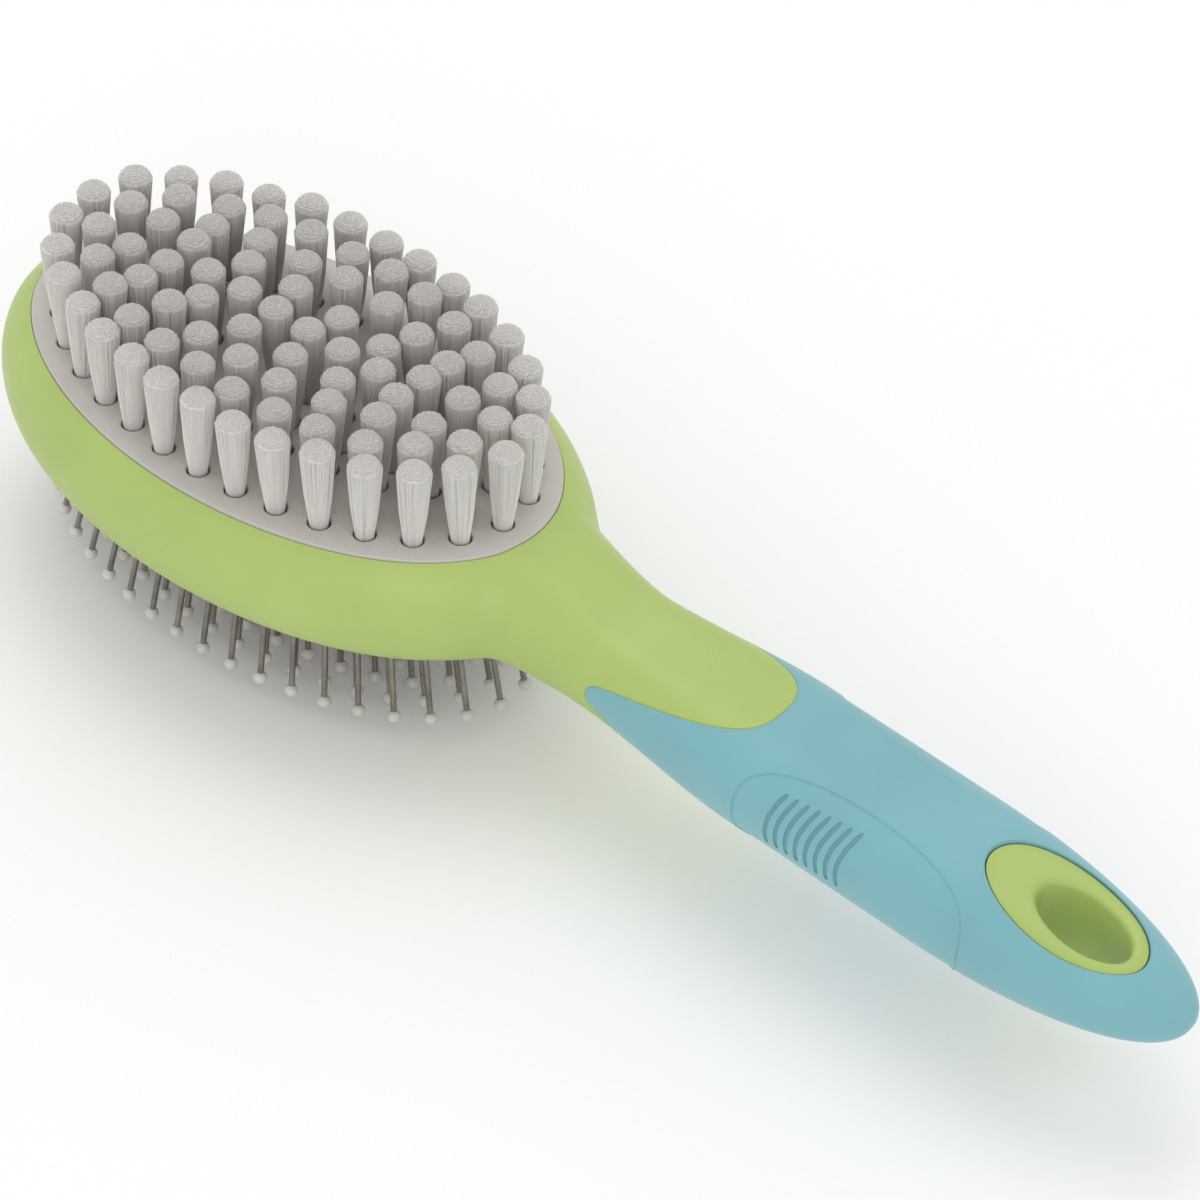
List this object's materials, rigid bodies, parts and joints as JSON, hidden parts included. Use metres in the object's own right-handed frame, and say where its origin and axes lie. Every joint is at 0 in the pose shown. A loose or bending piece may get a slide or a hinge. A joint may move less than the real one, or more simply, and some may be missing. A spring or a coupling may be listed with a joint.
{
  "type": "pin and bristle brush",
  "caption": "Double-sided oval pet brush: nylon bristle tufts on one face, ball-tipped steel pins in an air cushion on the other, and a rubber-covered handle with a hang hole.",
  "frame": {"origin": "under the middle of the brush's bounding box, on the surface that the pin tips stand on", "axes": "+X along the handle towards its tail, +Y across the brush, +Z towards the bristle side"},
  "size_m": [0.2306, 0.0682, 0.0585],
  "materials": {
    "green_plastic": "satin moulded polypropylene",
    "blue_rubber": "matte soft-touch overmould",
    "grey_plastic": "fine matte moulding",
    "bristle": "translucent milky nylon filament",
    "steel_wire": "drawn wire",
    "pin_steel": "polished wire",
    "tip_plastic": "glossy dipped ball",
    "grey_rubber": "matte moulded rubber",
    "white_plastic": "plain moulding"
  },
  "bodies": {
    "head": {"body": "green_plastic", "grip": "blue_rubber", "bristle_plate": "grey_plastic", "cushion_cup": "white_plastic", "cushion_frame": "grey_plastic", "tuft_ring_1": "bristle", "tuft_ring_2": "bristle", "tuft_ring_3": "bristle", "tuft_ring_4": "bristle", "tuft_ring_5": "bristle", "tuft_staples_1": "steel_wire", "tuft_staples_2": "steel_wire", "tuft_staples_3": "steel_wire", "tuft_staples_4": "steel_wire", "tuft_staples_5": "steel_wire"},
    "cushion": {"cushion_membrane": "grey_rubber"},
    "pins_1": {"pin_row_1": "pin_steel", "pin_tips_1": "tip_plastic"},
    "pins_2": {"pin_row_2": "pin_steel", "pin_tips_2": "tip_plastic"},
    "pins_3": {"pin_row_3": "pin_steel", "pin_tips_3": "tip_plastic"},
    "pins_4": {"pin_row_4": "pin_steel", "pin_tips_4": "tip_plastic"},
    "pins_5": {"pin_row_5": "pin_steel", "pin_tips_5": "tip_plastic"},
    "pins_6": {"pin_row_6": "pin_steel", "pin_tips_6": "tip_plastic"},
    "pins_7": {"pin_row_7": "pin_steel", "pin_tips_7": "tip_plastic"}
  },
  "joints": [
    {"name": "cushion_press", "type": "slide", "parent": "head", "child": "cushion", "axis": [0, 0, 1], "range_m": [0, 0.002], "stiffness_N_per_m": 3000, "deforming": ["cushion_membrane"]},
    {"name": "pin_row_1_rock", "type": "hinge", "parent": "cushion", "child": "pins_1", "pos_m": [-0.0596, -0.01869, 0.02132], "axis": [1, 0, 0], "range_deg": [-6, 6], "stiffness_Nm_per_rad": 0.1},
    {"name": "pin_row_2_rock", "type": "hinge", "parent": "cushion", "child": "pins_2", "pos_m": [-0.0596, -0.01246, 0.02066], "axis": [1, 0, 0], "range_deg": [-6, 6], "stiffness_Nm_per_rad": 0.1},
    {"name": "pin_row_3_rock", "type": "hinge", "parent": "cushion", "child": "pins_3", "pos_m": [-0.0596, -0.00623, 0.0203], "axis": [1, 0, 0], "range_deg": [-6, 6], "stiffness_Nm_per_rad": 0.1},
    {"name": "pin_row_4_rock", "type": "hinge", "parent": "cushion", "child": "pins_4", "pos_m": [-0.0596, 0, 0.02039], "axis": [1, 0, 0], "range_deg": [-6, 6], "stiffness_Nm_per_rad": 0.1},
    {"name": "pin_row_5_rock", "type": "hinge", "parent": "cushion", "child": "pins_5", "pos_m": [-0.0596, 0.00623, 0.0203], "axis": [1, 0, 0], "range_deg": [-6, 6], "stiffness_Nm_per_rad": 0.1},
    {"name": "pin_row_6_rock", "type": "hinge", "parent": "cushion", "child": "pins_6", "pos_m": [-0.0596, 0.01246, 0.02066], "axis": [1, 0, 0], "range_deg": [-6, 6], "stiffness_Nm_per_rad": 0.1},
    {"name": "pin_row_7_rock", "type": "hinge", "parent": "cushion", "child": "pins_7", "pos_m": [-0.0596, 0.01869, 0.02132], "axis": [1, 0, 0], "range_deg": [-6, 6], "stiffness_Nm_per_rad": 0.1}
  ]
}
